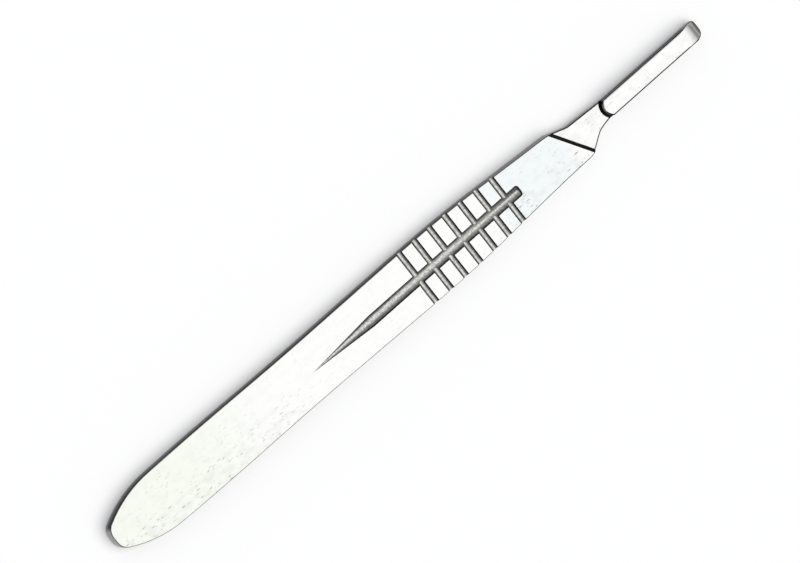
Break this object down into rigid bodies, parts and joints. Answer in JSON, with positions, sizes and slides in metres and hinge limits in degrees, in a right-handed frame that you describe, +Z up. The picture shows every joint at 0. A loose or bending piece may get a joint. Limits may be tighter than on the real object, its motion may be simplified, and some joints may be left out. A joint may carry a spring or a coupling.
{
  "type": "scalpel handle",
  "caption": "Flat one-piece steel handle with a grooved grip, a long flute and a narrow undercut tongue that takes a detachable surgical blade.",
  "frame": {"origin": "middle of the handle's bounding box, on the plane of the flat underside that it lies on", "axes": "+X along the handle towards the blade fitting, +Y across it towards the upper long edge, +Z up out of the face that carries the blade boss"},
  "size_m": [0.125, 0.0104, 0.0027],
  "materials": {
    "stainless_steel": "satin ground faces with fine lengthwise lines, duller in the grooves"
  },
  "bodies": {
    "root": {"scalpel_handle": "stainless_steel"}
  },
  "joints": []
}
